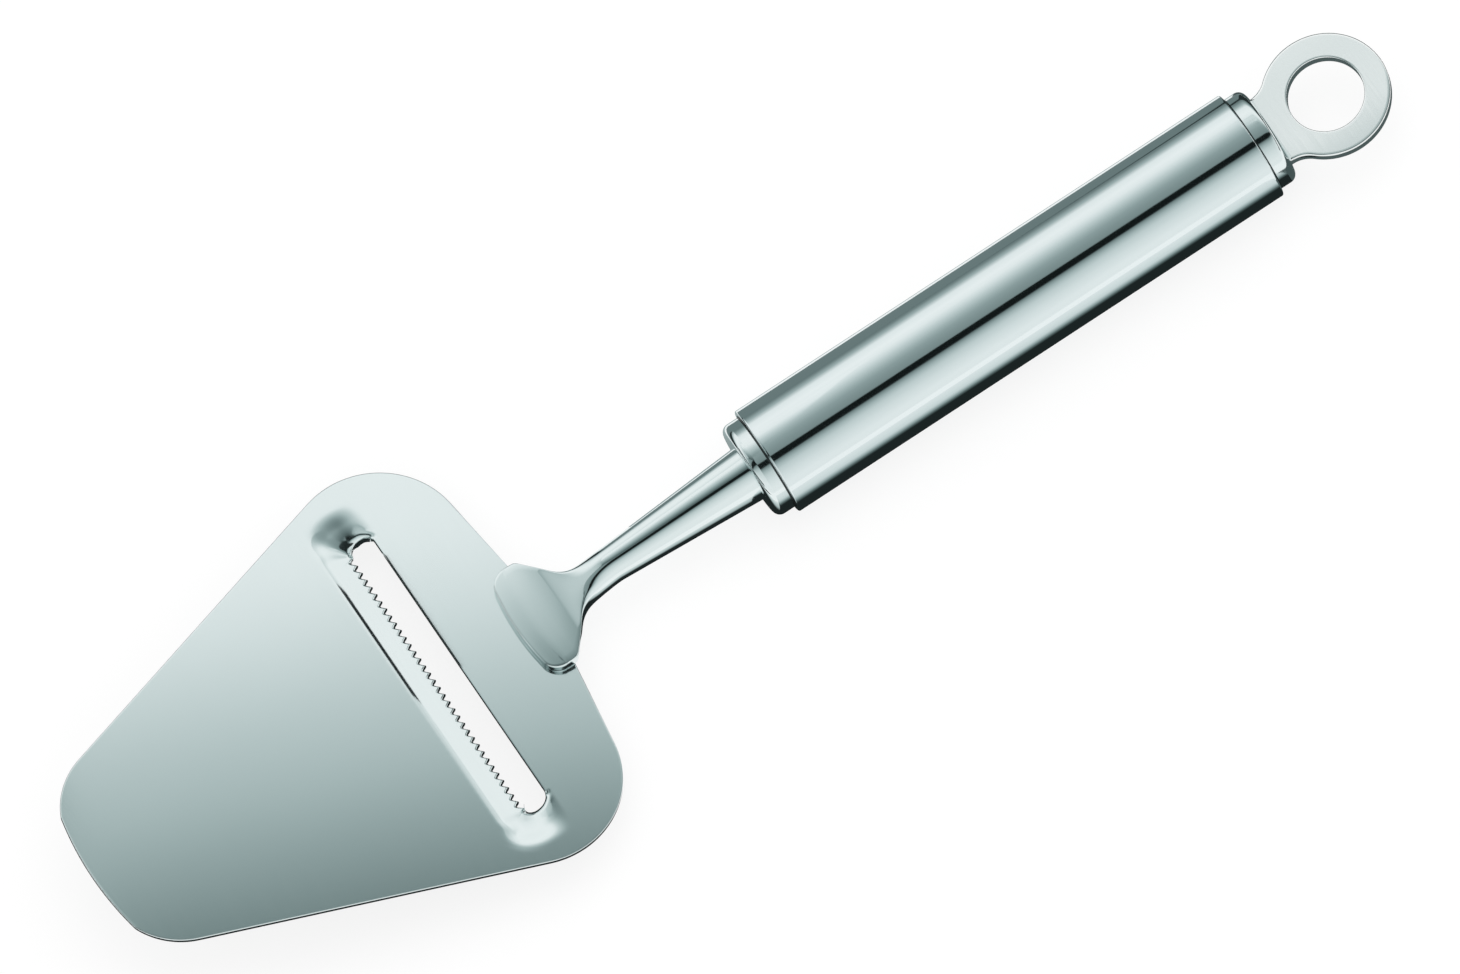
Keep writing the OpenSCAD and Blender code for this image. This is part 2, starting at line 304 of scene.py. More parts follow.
def steel(name, colour, roughness, grain, grain_share, bump=0.0, wear=0.0):
    """Steel with fine lines along one axis: grain gives how fine they are on X, Y and Z."""
    material = bpy.data.materials.new(name)
    material.use_nodes = True
    nodes, links = material.node_tree.nodes, material.node_tree.links
    shader = nodes["Principled BSDF"]
    shader.inputs["Metallic"].default_value = 1.0
    place = nodes.new("ShaderNodeTexCoord")
    lines = nodes.new("ShaderNodeMapping")
    lines.inputs["Scale"].default_value = grain
    links.new(place.outputs["Object"], lines.inputs["Vector"])
    fine = nodes.new("ShaderNodeTexNoise")
    fine.inputs["Scale"].default_value = 1.0
    fine.inputs["Detail"].default_value = 4.0
    fine.inputs["Roughness"].default_value = 0.6
    links.new(lines.outputs["Vector"], fine.inputs["Vector"])
    cloud = nodes.new("ShaderNodeTexNoise")
    cloud.inputs["Scale"].default_value = 55.0
    cloud.inputs["Detail"].default_value = 3.0
    links.new(place.outputs["Object"], cloud.inputs["Vector"])

    rough = nodes.new("ShaderNodeMapRange")
    rough.inputs["From Min"].default_value = 0.3
    rough.inputs["From Max"].default_value = 0.7
    rough.inputs["To Min"].default_value = roughness * (1 - grain_share)
    rough.inputs["To Max"].default_value = roughness * (1 + grain_share)
    links.new(fine.outputs["Fac"], rough.inputs["Value"])
    links.new(rough.outputs["Result"], shader.inputs["Roughness"])

    tint = nodes.new("ShaderNodeMix")
    tint.data_type = "RGBA"
    tint.inputs["A"].default_value = (*[c * (0.985 - wear) for c in colour], 1)
    tint.inputs["B"].default_value = (*[min(c * 1.015, 1.0) for c in colour], 1)
    links.new(cloud.outputs["Fac"], tint.inputs["Factor"])
    links.new(tint.outputs["Result"], shader.inputs["Base Color"])

    if bump:
        raised = nodes.new("ShaderNodeBump")
        raised.inputs["Strength"].default_value = bump
        raised.inputs["Distance"].default_value = 0.00002
        links.new(fine.outputs["Fac"], raised.inputs["Height"])
        links.new(raised.outputs["Normal"], shader.inputs["Normal"])
    return material


TUBE_STEEL = steel("handle_steel", (0.78, 0.85, 0.855), 0.065, (60, 2500, 2500), 0.25, 0.05)
CAP_STEEL = steel("cap_steel", (0.78, 0.85, 0.85), 0.08, (2500, 900, 900), 0.25, 0.05)
BLADE_STEEL = steel("blade_steel", (0.78, 0.85, 0.85), 0.12, (2500, 70, 70), 0.2, 0.1)
FORGED_STEEL = steel("forged_steel", (0.78, 0.85, 0.85), 0.06, (90, 1800, 1800), 0.25, 0.05)
EYE_STEEL = steel("eye_steel", (0.97, 0.985, 0.98), 0.12, (1800, 90, 1800), 0.25, 0.08)
# Near-black steel for the weld rings and the inner welds: painted shade, which makes the dark line in the
# step between the tube and each cap
WELD_STEEL_PAINTED_SHADE = steel("weld_steel", (0.06, 0.07, 0.07), 0.4, (1500, 1500, 1500), 0.3, 0.4, 0.1)


# Blade

def slot_line():
    """The slot's outline without its scallops, in four stretches: places, and directions into the metal."""
    scallop_steps, straight_steps, nose_steps, corner_steps, rear_steps = 8, 2, 24, 30, 96
    edge_steps = SCALLOPS * scallop_steps
    front = [(EDGE_U, EDGE_LEN * (i / edge_steps - 0.5), 1.0, 0.0) for i in range(edge_steps)]
    side = SLOT_END - SLOT_NOSE_R
    end = [(EDGE_U, mixed(EDGE_LEN / 2, side, i / straight_steps), 1.0, 0.0) for i in range(straight_steps)]
    for i in range(nose_steps):
        a = math.radians(90 * i / nose_steps)
        end.append((EDGE_U - SLOT_NOSE_R + SLOT_NOSE_R * math.cos(a), side + SLOT_NOSE_R * math.sin(a),
                    math.cos(a), math.sin(a)))
    back = SLOT_REAR + SLOT_CORNER_R
    for i in range(straight_steps):
        end.append((mixed(EDGE_U - SLOT_NOSE_R, back, i / straight_steps), SLOT_END, 0.0, 1.0))
    inner = SLOT_END - SLOT_CORNER_R
    for i in range(corner_steps):
        a = math.radians(90 + 90 * i / corner_steps)
        end.append((back + SLOT_CORNER_R * math.cos(a), inner + SLOT_CORNER_R * math.sin(a),
                    math.cos(a), math.sin(a)))
    rear = [(SLOT_REAR, mixed(inner, -inner, i / rear_steps), -1.0, 0.0) for i in range(rear_steps)]
    other_end = [(SLOT_REAR, -inner, -1.0, 0.0)]
    other_end += [(u, -v, into_u, -into_v) for u, v, into_u, into_v in reversed(end[1:])]
    return front, end, rear, other_end


def scallop(v):
    """Depth of the cutting edge's scallops at a place along it."""
    if abs(v) > EDGE_LEN / 2:
        return 0.0
    wave = (v / EDGE_LEN + 0.5) * SCALLOPS
    across = abs(math.sin(math.pi * wave))
    return SCALLOP_DEPTH * ((1 - SCALLOP_ROUND_SHARE) * across + SCALLOP_ROUND_SHARE * across * across)


def dimple(d):
    """Depth of the dimple beside the slot's end at a distance from its middle."""
    for start, end in zip(DIMPLE_CURVE, DIMPLE_CURVE[1:]):
        if d < end[0]:
            return eased(start, end, d)
    return 0.0


def lip_share(share):
    """Share of the lip's drop: it falls off evenly, with a soft bend where it meets the flat."""
    if share < -LIP_SOFT_SHARE:
        return 0.0
    if share < LIP_SOFT_SHARE:
        return (share + LIP_SOFT_SHARE) ** 2 / (4 * LIP_SOFT_SHARE)
    return share


def rolled_rim(u, v):
    """Extra drop where the metal rolls down into the slot at its ends."""
    across = abs(u - SLOT_REAR - SLOT_W / 2) - (SLOT_W / 2 - SLOT_CORNER_R)
    beyond = abs(v) - (SLOT_END - SLOT_CORNER_R)
    outside = math.hypot(max(across, 0.0), max(beyond, 0.0))
    away = outside + min(max(across, beyond), 0.0) - SLOT_CORNER_R
    short = RIM_R - min(max(away, 0.0), RIM_R)
    return (RIM_R - math.sqrt(RIM_R ** 2 - short ** 2)) * smooth(RIM_START, RIM_FULL, abs(v))


def pressed(u, v):
    """Height of the blade's top face, pressed down ahead of the cutting edge and round the slot's ends."""
    ahead, beyond = u - EDGE_U, max(abs(v) - LIP_END, 0.0)
    if ahead < 0:
        if beyond == 0.0:
            return 0.0
        beside = smooth(LIP_END, LIP_END + DIMPLE_SIDE, abs(v))
        fade = smooth(DIMPLE_REAR, EDGE_U, u) * mixed(beside, 1.0, smooth(SLOT_REAR, DIMPLE_FULL, u))
        return -dimple(math.hypot(min(u - DIMPLE_BACK, 0.0), beyond)) * fade - rolled_rim(u, v)
    away = math.hypot(ahead, beyond)
    turn = beyond / away if away else 0.0
    lip = LIP_DROP * lip_share(1 - away / LIP_W)
    side = dimple(away * mixed(DIMPLE_SQUEEZE, 1.0, smooth(*SQUEEZE_SHARES, turn)))
    return -mixed(lip, side, smooth(*BLEND_SHARES, turn)) - rolled_rim(u, v)


def blade_outline():
    """The blade's outline as one closed line of points."""
    bow_steps = 60
    rear_tip = (0.0, 0.0)
    rear_corner = (BLADE_HALF_W * math.tan(REAR_SWEEP), BLADE_HALF_W)
    front_corner = (BLADE_LEN - FRONT_BOW, FRONT_HALF_W)
    bow_r = (FRONT_HALF_W ** 2 + FRONT_BOW ** 2) / (2 * FRONT_BOW)
    away = (front_corner[0] + front_corner[1], front_corner[1] - (front_corner[0] - BLADE_LEN + bow_r))
    front_round = rounded_corner(rear_corner, front_corner, away, FRONT_CORNER_R)
    rear_round = rounded_corner(rear_tip, rear_corner, front_corner, REAR_CORNER_R)
    last = front_round[-1]
    bow = []
    for i in range(bow_steps):
        w = last.y * i / bow_steps
        bow.append(Vector((last.x + (BLADE_LEN - last.x) * (1 - (w / last.y) ** 2), w)))
    half = bow + list(reversed(front_round)) + list(reversed(rear_round)) + [Vector(rear_tip)]
    return half + mirrored(half)[1:-1]


def way_out(outline, start, towards):
    """Where a line from start leaves the outline, with the outline's own direction outwards there."""
    slack = 1e-9
    count = len(outline)
    for k in range(count):
        a, b = outline[k], outline[(k + 1) % count]
        along = b - a
        across = towards.x * along.y - towards.y * along.x
        if abs(across) < slack:
            continue
        gap = a - start
        far = (gap.x * along.y - gap.y * along.x) / across
        share = (gap.x * towards.y - gap.y * towards.x) / across
        if far > 0 and -slack <= share <= 1 + slack:
            here = along.normalized()
            before = (a - outline[k - 1]).normalized() + here
            after = here + (outline[(k + 2) % count] - b).normalized()
            turn = before.lerp(after, share)
            out = Vector((turn.y, -turn.x)).normalized()
            if out.dot(towards) < 0:
                out = -out
            return a + along * share, out
    raise ValueError("no way out")


def make_blade():
    """The blade is a ring of sections, each from its outer edge over the top to the slot and back below."""
    front, end, rear, other_end = slot_line()
    slot = front + end + rear + other_end
    outline = blade_outline()
    ways = [way_out(outline, Vector((u, v)), Vector((into_u, into_v)).normalized())
            for u, v, into_u, into_v in slot]
    outer = [place for place, out in ways]
    outwards = [out for place, out in ways]

    def slot_point(i, inwards):
        u, v, into_u, into_v = slot[i]
        if i < len(front):
            u += scallop(v)
        return Vector((u + into_u * inwards, v + into_v * inwards))

    def apron_point(i):
        u, v, into_u, into_v = slot[i]
        return Vector((u + into_u * APRON_W, v + into_v * APRON_W))

    def ground(i, far):
        """Drop of the bevel that is ground along the cutting edge."""
        if i >= len(front):
            return 0.0
        ends = smooth(EDGE_LEN / 2, EDGE_LEN / 2 - BEVEL_RUN_OUT, abs(slot[i][1]))
        return BEVEL_DROP * max(1 - far / BEVEL_W, 0.0) * ends

    def edge_ring(inwards, height):
        return lambda i: (*(outer[i] - outwards[i] * inwards), height)

    def face_ring(share, below):
        """Share runs from 0 at the outer edge, through 1 at the apron, to 2 at the slot."""
        def place(i):
            if share <= 1:
                p = (outer[i] - outwards[i] * BLADE_EDGE_R).lerp(apron_point(i), share)
            else:
                p = apron_point(i).lerp(slot_point(i, SLOT_EDGE_R), share - 1)
            height = pressed(p.x, p.y) - below
            if share > 1 and not below:
                height -= ground(i, (p - slot_point(i, 0.0)).length)
            return (p.x, p.y, height)
        return place

    def wall_ring(inwards, rise):
        def place(i):
            p = slot_point(i, inwards)
            bevel = ground(i, inwards) if rise > -BLADE_T / 2 else 0.0
            return (p.x, p.y, pressed(p.x, p.y) + rise - bevel)
        return place

    # Rings lie closer towards the slot, and the last one below stays a little short of its rounding
    top_rings, top_crowding = 32, 0.62
    low_rings, low_crowding, low_last = 12, 0.85, 1.97
    top_shares = [0.2, 0.5, 0.8] + [1 + (k / top_rings) ** top_crowding for k in range(top_rings + 1)]
    low_shares = [0.3, 0.7] + [1 + (k / low_rings) ** low_crowding for k in range(low_rings)] + [low_last]

    rings = [edge_ring(inwards, rise - BLADE_T + BLADE_EDGE_R)
             for inwards, rise in round_edge(BLADE_EDGE_R, -90, 0, 3)]
    rings += [edge_ring(inwards, rise - BLADE_EDGE_R)
              for inwards, rise in round_edge(BLADE_EDGE_R, 0, 90, 3)]
    rings.append(edge_ring(BLADE_EDGE_R + BESIDE, 0.0))
    rings += [face_ring(share, 0.0) for share in top_shares]
    rings += [wall_ring(inwards, rise - SLOT_EDGE_R)
              for inwards, rise in round_edge(SLOT_EDGE_R, 90, 0, 2)[1:]]
    rings += [wall_ring(inwards, rise - BLADE_T + SLOT_EDGE_R)
              for inwards, rise in round_edge(SLOT_EDGE_R, 0, -90, 2)]
    rings += [face_ring(share, BLADE_T) for share in reversed(low_shares)]
    rings.append(edge_ring(BLADE_EDGE_R + BESIDE, -BLADE_T))

    table = [[ring(i) for i in range(len(slot))] for ring in rings]
    bm = woven(len(slot), len(rings), lambda i, j: at_blade(*table[j % len(rings)][i]))
    finished("blade_plate", bm, BLADE_STEEL, ["blade"], 32)


# Shank

def oval(half_w, half_h, corner_r, top_turn, side_turn):
    """Points round a section of four flat arcs and four corner arcs, a circle where all radii agree."""
    a, b = math.radians(top_turn), math.radians(side_turn)
    p, q = math.sin(a), 1 - math.cos(b)
    r, s = 1 - math.cos(a), math.sin(b)
    det = p * s - q * r
    top = ((half_w - corner_r) * s - q * (half_h - corner_r)) / det
    side = (p * (half_h - corner_r) - r * (half_w - corner_r)) / det
    quarter = []
    for i in range(TOP_STEPS):
        t = a * i / TOP_STEPS
        quarter.append(((top + corner_r) * math.sin(t), half_h - (top + corner_r) * (1 - math.cos(t))))
    centre = (top * math.sin(a), half_h - top - corner_r + top * math.cos(a))
    for i in range(TURN_STEPS):
        t = mixed(a, math.pi / 2 - b, i / TURN_STEPS)
        quarter.append((centre[0] + corner_r * math.sin(t), centre[1] + corner_r * math.cos(t)))
    for i in range(SIDE_STEPS):
        t = b * (1 - i / SIDE_STEPS)
        quarter.append((half_w - (side + corner_r) * (1 - math.cos(t)), (side + corner_r) * math.sin(t)))
    right = quarter + [(half_w, 0.0)] + [(y, -z) for y, z in reversed(quarter[1:])]
    return right + [(0.0, -half_h)] + [(-y, z) for y, z in reversed(right[1:])]


def foot_thickness(u):
    """Thickness of the foot, which thins towards its front edge."""
    return mixed(FOOT_T, FOOT_FRONT_T, smooth(FOOT_THIN_U, FOOT_FRONT + FOOT_BOW, u))


def foot_half_width(u):
    """Half width of the neck and foot at a distance from the blade's rear edge."""
    narrow_u, narrow_w = NECK_NARROW[:2]
    flare_u, flare_w, flare_slope = NECK_FLARE
    if u < narrow_u:
        flare = mixed(ROD_FRONT_R, narrow_w, smooth(ROD_END_U, narrow_u, u))
    elif u < flare_u:
        flare = eased(NECK_NARROW, NECK_FLARE, u)
    else:
        flare = flare_w + (u - flare_u) * flare_slope
    gap = FOOT_HALF_W - flare
    return FOOT_HALF_W - (math.sqrt(gap * gap + FLARE_SOFT * FLARE_SOFT) + gap) / 2


def bowed(bow, y):
    """How far the foot's front edge bows ahead at a place across it."""
    return bow * (1 - (y / FOOT_HALF_W) ** 2)


def round_section(x, z, radius, tilt=0.0):
    """A round section of the tang or rod, with its middle at x and z on the handle's axes."""
    return [at_handle(x + h * math.sin(tilt), y, z + h * math.cos(tilt))
            for y, h in oval(radius, radius, radius, ROUND_TURN, ROUND_TURN)]


def rod_sections():
    """Sections from the tang's rounded end to the rod's front."""
    rod_steps = 24
    upright_share = 0.1
    back = FRONT_FACE - CAP_WALL - TANG_LEN
    sections = [round_section(back + TANG_EDGE_R - rise, 0, TANG_R - inwards)
                for inwards, rise in round_edge(TANG_EDGE_R, 90, 0, 3)]
    sections += [round_section(FRONT_FACE, 0, TANG_R), round_section(FRONT_FACE, 0, ROD_R)]
    for k in range(1, rod_steps + 1):
        share = k / rod_steps
        tilt = ROD_TILT * smooth(0, upright_share, share)
        sections.append(round_section(FRONT_FACE + (ROD_REACH - FRONT_FACE) * share, -ROD_DROP * share,
                                      mixed(ROD_R, ROD_FRONT_R, share), tilt))
    closed_end = [at_handle(back, 0, 0)] * len(sections[0])
    return [closed_end] + sections


def neck_section(u):
    """A section of the neck, or of the foot behind its front corners, at u from the blade's rear edge."""
    round_share, corner_share = 0.02, 0.97
    half_w = foot_half_width(u)
    slope = math.tan(ROD_TILT + PITCH)
    taper = (ROD_R - ROD_FRONT_R) / math.hypot(ROD_REACH - FRONT_FACE, ROD_DROP)
    high = eased((ROD_END_U, ROD_END_Z + ROD_FRONT_R, -slope - taper), (BEND_U, FOOT_T, 0.0), u)
    high -= FOOT_T - foot_thickness(u)
    low = eased((ROD_END_U, ROD_END_Z - ROD_FRONT_R, -slope + taper), (SOLE_U, 0.0, 0.0), u)
    middle, half_h = (low + high) / 2, (high - low) / 2
    if smooth(ROD_END_U, SQUARE_U, u) < round_share:
        top_r = sole_r = min(half_h, half_w)
    else:
        widest = half_h * corner_share
        top_r = min(mixed(ROD_FRONT_R, FOOT_EDGE_R, smooth(ROD_END_U, TOP_SHARP_U, u)), widest)
        sole_r = min(mixed(ROD_FRONT_R, SOLE_EDGE_R, smooth(ROD_END_U, SOLE_SHARP_U, u)), widest)
    top_turn = mixed(ROUND_TURN, FLAT_TOP_TURN, smooth(ROD_END_U, TOP_FLAT_U, u))
    side_turn = mixed(ROUND_TURN, FLAT_SIDE_TURN, smooth(ROD_END_U, SIDE_FLAT_U, u))
    lean = (ROD_TILT + PITCH) * (1 - smooth(ROD_END_U, UPRIGHT_U, u))
    bow = FOOT_BOW * smooth(*BOW_US, u)
    upper = oval(half_w, half_h, top_r, top_turn, side_turn)
    lower = oval(half_w, half_h, sole_r, top_turn, side_turn)
    points = [above if above[1] >= 0 else below for above, below in zip(upper, lower)]
    return [at_blade(u + bowed(bow, y) + h * math.sin(lean), y, middle + h * math.cos(lean))
            for y, h in points]


def neck_sections():
    """Sections from the rod's front to where the foot's front corners start."""
    step = 0.5
    count = int((FOOT_FRONT - FOOT_CORNER_R - ROD_END_U) / step)
    return [neck_section(ROD_END_U + step * k) for k in range(1, count + 1)]


def foot_front_sections():
    """Sections round the foot's front corners and over its front edge, and the front face itself."""
    start = FOOT_FRONT - FOOT_CORNER_R
    square = FOOT_HALF_W - FOOT_CORNER_R
    thinnest = 0.05
    soft_y, sharp_y = 0.35 * FOOT_HALF_W, 0.8 * FOOT_HALF_W
    # Through 60 degrees of the corners, then down the rounding of the front edge
    reach = [FOOT_CORNER_R * math.sin(math.radians(6 * k)) for k in range(11)]
    reach += [FOOT_CORNER_R - FOOT_EDGE_R * (1 - math.cos(math.radians(a))) for a in range(72, -1, -12)]
    steps = TOP_STEPS + TURN_STEPS
    sections = []
    for ahead in reach:
        half_t = foot_thickness(start + ahead) / 2
        half_w = min(square + math.sqrt(FOOT_CORNER_R ** 2 - ahead ** 2), foot_half_width(start + ahead))
        quarter = []
        for i in range(steps):
            y = half_w * math.sin(math.pi / 2 * i / steps)
            from_edge = FOOT_CORNER_R - math.hypot(ahead, max(y - square, 0.0))
            short = FOOT_EDGE_R - min(from_edge, FOOT_EDGE_R)
            rise = math.sqrt(max(FOOT_EDGE_R ** 2 - short ** 2, 0.0))
            rise -= FOOT_CROWN * (y / FOOT_HALF_W) ** 2
            quarter.append((y, max(half_t - FOOT_EDGE_R + rise, thinnest)))
        quarter += [(half_w, (half_t - FOOT_EDGE_R) * (1 - i / SIDE_STEPS)) for i in range(SIDE_STEPS)]
        right = quarter + [(half_w, 0.0)]
        for y, z in reversed(quarter[1:]):
            sharp = smooth(soft_y, sharp_y, y)
            right.append((y, -mixed(z, half_t, sharp) if y < half_w else -z))
        section = right + [(0.0, -quarter[0][1])] + [(-y, z) for y, z in reversed(right[1:])]
        sections.append([at_blade(start + ahead + bowed(FOOT_BOW, y), y, half_t + z) for y, z in section])
    for share in (0.5, 0.0):
        sections.append([at_blade(FOOT_FRONT + bowed(FOOT_BOW, y), y, half_t + z * share)
                         for y, z in section])
    return sections


def make_shank():
    sections = rod_sections() + neck_sections() + foot_front_sections()
    bm = woven(len(sections[0]), len(sections) - 1, lambda i, j: sections[j][i])
    finished("shank_forging", bm, FORGED_STEEL, ["shank"], 40)


# Handle

def make_tube():
    flat = TUBE_EDGE_R + BESIDE
    lengths, edge_steps = 12, 5
    profile = [(0.0, CAP_R)]
    profile += [(-inwards, TUBE_R - TUBE_EDGE_R + rise)
                for inwards, rise in round_edge(TUBE_EDGE_R, 0, 90, edge_steps)]
    profile += [(-flat, TUBE_R)]
    profile += [(-TUBE_LEN * k / lengths, TUBE_R) for k in range(1, lengths)]
    profile += [(-TUBE_LEN + flat, TUBE_R)]
    profile += [(-TUBE_LEN + inwards, TUBE_R - TUBE_EDGE_R + rise)
                for inwards, rise in round_edge(TUBE_EDGE_R, 90, 0, edge_steps)]
    profile += [(-TUBE_LEN, CAP_R)]
    finished("handle_tube_shell", turned(profile), TUBE_STEEL, ["handle_tube"])


def cup(face, back, hole_r):
    """Rounded cup of a cap: back is the direction from its face into the tube."""
    depth = CAP_OUT + CAP_IN
    lengths, edge_steps = 4, 12
    flat = CAP_EDGE_R + BESIDE
    profile = [(face + back * CAP_WALL, hole_r), (face, hole_r)]
    profile += [(face, mixed(hole_r, CAP_R - flat, k / lengths)) for k in range(1, lengths + 1)]
    profile += [(face + back * inwards, CAP_R - CAP_EDGE_R + rise)
                for inwards, rise in round_edge(CAP_EDGE_R, 0, 90, edge_steps)]
    profile += [(face + back * mixed(flat, depth, k / lengths), CAP_R) for k in range(lengths + 1)]
    profile += [(face + back * depth, BORE_R), (face + back * CAP_WALL, BORE_R)]
    return turned(profile)


def make_caps():
    finished("front_cap_cup", cup(FRONT_FACE, -1, TANG_R), CAP_STEEL, ["front_cap"])
    finished("rear_cap_cup", cup(REAR_FACE, 1, 0.0), CAP_STEEL, ["rear_cap"])


def make_seams():
    """A hollow fillet of weld in each step between the tube's end and its cap, in near-black steel: painted
    shade for the dark line in that step.
    """
    for name, end, out in (("front", 0.0, 1), ("rear", -TUBE_LEN, -1)):
        hollow = [(end + out * inwards, CAP_R + SEAM_R - rise)
                  for inwards, rise in round_edge(SEAM_R, 0, 90, 4)]
        profile = [(end, CAP_R)] + hollow
        finished(name + "_seam_ring", turned(profile), WELD_STEEL_PAINTED_SHADE, [name + "_seam"])


# Hanging eye

def eye_outline():
    """The eye plate's outline: from its middle at the cap, out along the neck, round the eye and back."""
    hollow_steps, round_steps, neck_steps, rest_steps = 24, 72, 8, 88
    hollow_y = EYE_NECK + EYE_HOLLOW_R
    hollow_x = EYE_X + math.sqrt((EYE_R + EYE_HOLLOW_R) ** 2 - hollow_y ** 2)
    meet = math.atan2(hollow_y, hollow_x - EYE_X)
    half = [Vector((REAR_FACE, 0)), Vector((REAR_FACE, EYE_NECK))]
    for i in range(hollow_steps + 1):
        a = -math.pi / 2 - (math.pi / 2 - meet) * i / hollow_steps
        half.append(Vector((hollow_x + EYE_HOLLOW_R * math.cos(a), hollow_y + EYE_HOLLOW_R * math.sin(a))))
    for i in range(1, round_steps + 1):
        a = mixed(meet, math.pi, i / round_steps)
        half.append(Vector((EYE_X + EYE_R * math.cos(a), EYE_R * math.sin(a))))
    neck = spaced(half[:2], neck_steps)
    rest = spaced(half[1:], rest_steps)
    return neck[:-1] + rest[:-1] + mirrored(rest)[:-1] + mirrored(neck)[:-1]


def make_eye():
    """The eye is a ring of sections between its outline and its hole, and its tang is a plain bar."""
    outer = eye_outline()
    count = len(outer)
    middle = Vector((EYE_X, 0))
    rays = [(p - middle).normalized() for p in outer]
    hole = [middle + ray * HOLE_R for ray in rays]
    outwards = []
    for i in range(count):
        along = outer[(i + 1) % count] - outer[i - 1]
        outwards.append(Vector((along.y, -along.x)).normalized())
    top = EYE_T / 2
    face_shares = (0.14, 0.5, 0.86)

    def edge_ring(inwards, z):
        return lambda i: (outer[i] - outwards[i] * inwards, z)

    def face_ring(share, z):
        return lambda i: (outer[i].lerp(hole[i], share), z)

    def hole_ring(inwards, z):
        return lambda i: (hole[i] + rays[i] * inwards, z)

    def round_rings(ring, radius, start, end, z):
        """Four steps round an edge of the outline or the hole, from angle start to end."""
        return [ring(inwards, rise + z) for inwards, rise in round_edge(radius, start, end, 4)]

    rings = round_rings(edge_ring, EYE_EDGE_R, -90, 0, EYE_EDGE_R - top)
    rings += round_rings(edge_ring, EYE_EDGE_R, 0, 90, top - EYE_EDGE_R)
    rings += [face_ring(share, top) for share in face_shares]
    rings += round_rings(hole_ring, HOLE_EDGE_R, 90, 0, top - HOLE_EDGE_R)
    rings += round_rings(hole_ring, HOLE_EDGE_R, 0, -90, HOLE_EDGE_R - top)
    rings += [face_ring(share, -top) for share in reversed(face_shares)]

    def place(i, j):
        p, z = rings[j % len(rings)](i)
        return at_handle(min(p.x, REAR_FACE), p.y, z)

    bm = woven(count, len(rings), place)
    tang = bmesh.ops.create_cube(bm, size=1.0)["verts"]
    bmesh.ops.scale(bm, vec=(EYE_TANG_LEN * MM, EYE_TANG_W * MM, EYE_TANG_T * MM), verts=tang)
    bmesh.ops.translate(bm, vec=at_handle(REAR_FACE + EYE_TANG_LEN / 2, 0, 0), verts=tang)
    finished("hanging_eye_plate", bm, EYE_STEEL, ["hanging_eye"])


def colour_inner_welds():
    """The welds inside keep their CAD shape and take the seam rings' near-black steel, whose darkness is
    painted shade.
    """
    for node in ("foot_welds", "shank_weld", "eye_welds"):
        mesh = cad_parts[node].data
        mesh.materials.clear()
        mesh.materials.append(WELD_STEEL_PAINTED_SHADE)


# Studio: all places here are in metres

FLOOR_GLOW = 0.83
SKY_LIGHT = 0.8
ABOVE_FLOOR = 0.0004
CARD_TURN = -0.28
TENT_R = 0.6
TENT_HALF_LEN = 3.0
TENT_RISE = 0.01
# Between these places on X the tent's levels turn on by this angle, which puts the rod's dark line in place
TENT_TURN_XS = (-0.02, 0.03)
TENT_TURN = math.radians(13.5)
# Angles from straight up, towards the camera's side, with the cloth's brightness there
TENT_LEVELS = (
    (-90, 0.2), (-84, 0.25), (-73, 0.5), (-63, 0.93), (-48, 1.0), (-38, 0.95), (-30, 0.83), (-21, 0.66),
    (-12, 0.5), (-4, 0.39), (5, 0.33), (15.6, 0.28), (16.8, 0.01), (27.5, 0.01), (30, 0.25), (37, 0.5),
    (46, 0.7), (60, 0.83), (78, 0.93), (90, 0.93))


def camera():
    """The camera, fitted to the photo: its own axes, and its place along them from the tube's front end."""
    right = Vector((-0.83562462, 0.52812718, -0.15104029))
    down = Vector((0.54585461, 0.76762051, -0.33585935))
    away = Vector((-0.06143483, -0.36309838, -0.92972325))
    right_by, down_by, back_by = -6.178, 4.256, 5454.0
    data = bpy.data.cameras.new("camera")
    data.lens = 800
    data.sensor_width = 36
    data.clip_start = 0.1
    data.clip_end = 12
    cam = bpy.data.objects.new("camera", data)
    bpy.context.scene.collection.objects.link(cam)
    place = right * right_by + down * down_by - away * back_by
    turn = Matrix((right, -down, -away)).transposed().to_4x4()
    cam.matrix_world = Matrix.Translation(at_handle(*place)) @ turn
    bpy.context.scene.camera = cam


def in_studio(name, bm, material):
    """Turns a bmesh into a part of the studio."""
    mesh = bpy.data.meshes.new(name)
    bm.to_mesh(mesh)
    bm.free()
    mesh.materials.append(material)
    thing = bpy.data.objects.new(name, mesh)
    bpy.context.scene.collection.objects.link(thing)
    return thing


def only_mirrored(card):
    """A studio card that shows in the steel alone."""
    card.visible_camera = False
    card.visible_diffuse = False
    card.visible_shadow = False
    card.visible_transmission = False
    card.visible_volume_scatter = False


def emitting(name):
    """A material that only glows."""
    material = bpy.data.materials.new(name)
    material.use_nodes = True
    tree = material.node_tree
    tree.nodes.clear()
    out = tree.nodes.new("ShaderNodeOutputMaterial")
    glow = tree.nodes.new("ShaderNodeEmission")
    tree.links.new(glow.outputs["Emission"], out.inputs["Surface"])
    return material, tree, glow


def tone(level):
    """A cool grey: the darker, the greener."""
    least_red = 0.7
    return (level * mixed(least_red, 1.0, level), level, level, 1)


def ramp_stops(ramp, stops):
    """Fills a colour ramp with places and levels."""
    first, last = ramp.elements[0], ramp.elements[1]
    for element, (place, level) in ((first, stops[0]), (last, stops[-1])):
        element.position = place
        element.color = tone(level)
    for place, level in stops[1:-1]:
        ramp.elements.new(place).color = tone(level)


